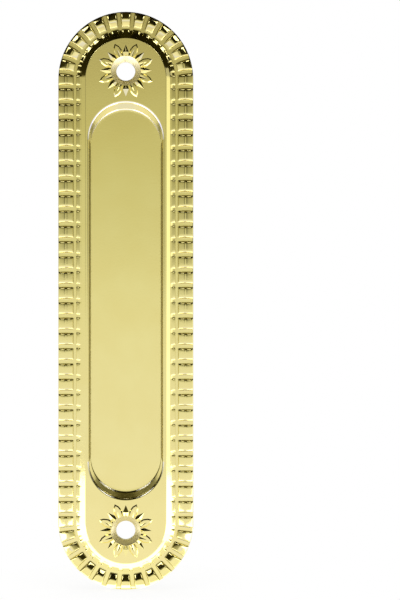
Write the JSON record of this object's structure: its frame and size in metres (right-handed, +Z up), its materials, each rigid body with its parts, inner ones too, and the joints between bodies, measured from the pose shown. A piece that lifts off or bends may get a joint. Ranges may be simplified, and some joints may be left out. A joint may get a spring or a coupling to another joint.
{
  "type": "sliding door handle",
  "caption": "Slot-shaped flush pull for a sliding door: a recessed finger cup in a raised plate, a toothed moulded border, and rosettes round the countersunk screw holes.",
  "frame": {"origin": "centre of the mounting plane, the back of the flange, midway between the screw holes", "axes": "+Z up along the length, +X across the width, -Y out of the door towards the user, so the face looks to -Y and the cup's shell goes into the door towards +Y"},
  "size_m": [0.0356, 0.0119, 0.152],
  "materials": {
    "polished_brass": "polished"
  },
  "bodies": {
    "root": {"flush_pull": "polished_brass"}
  },
  "joints": []
}
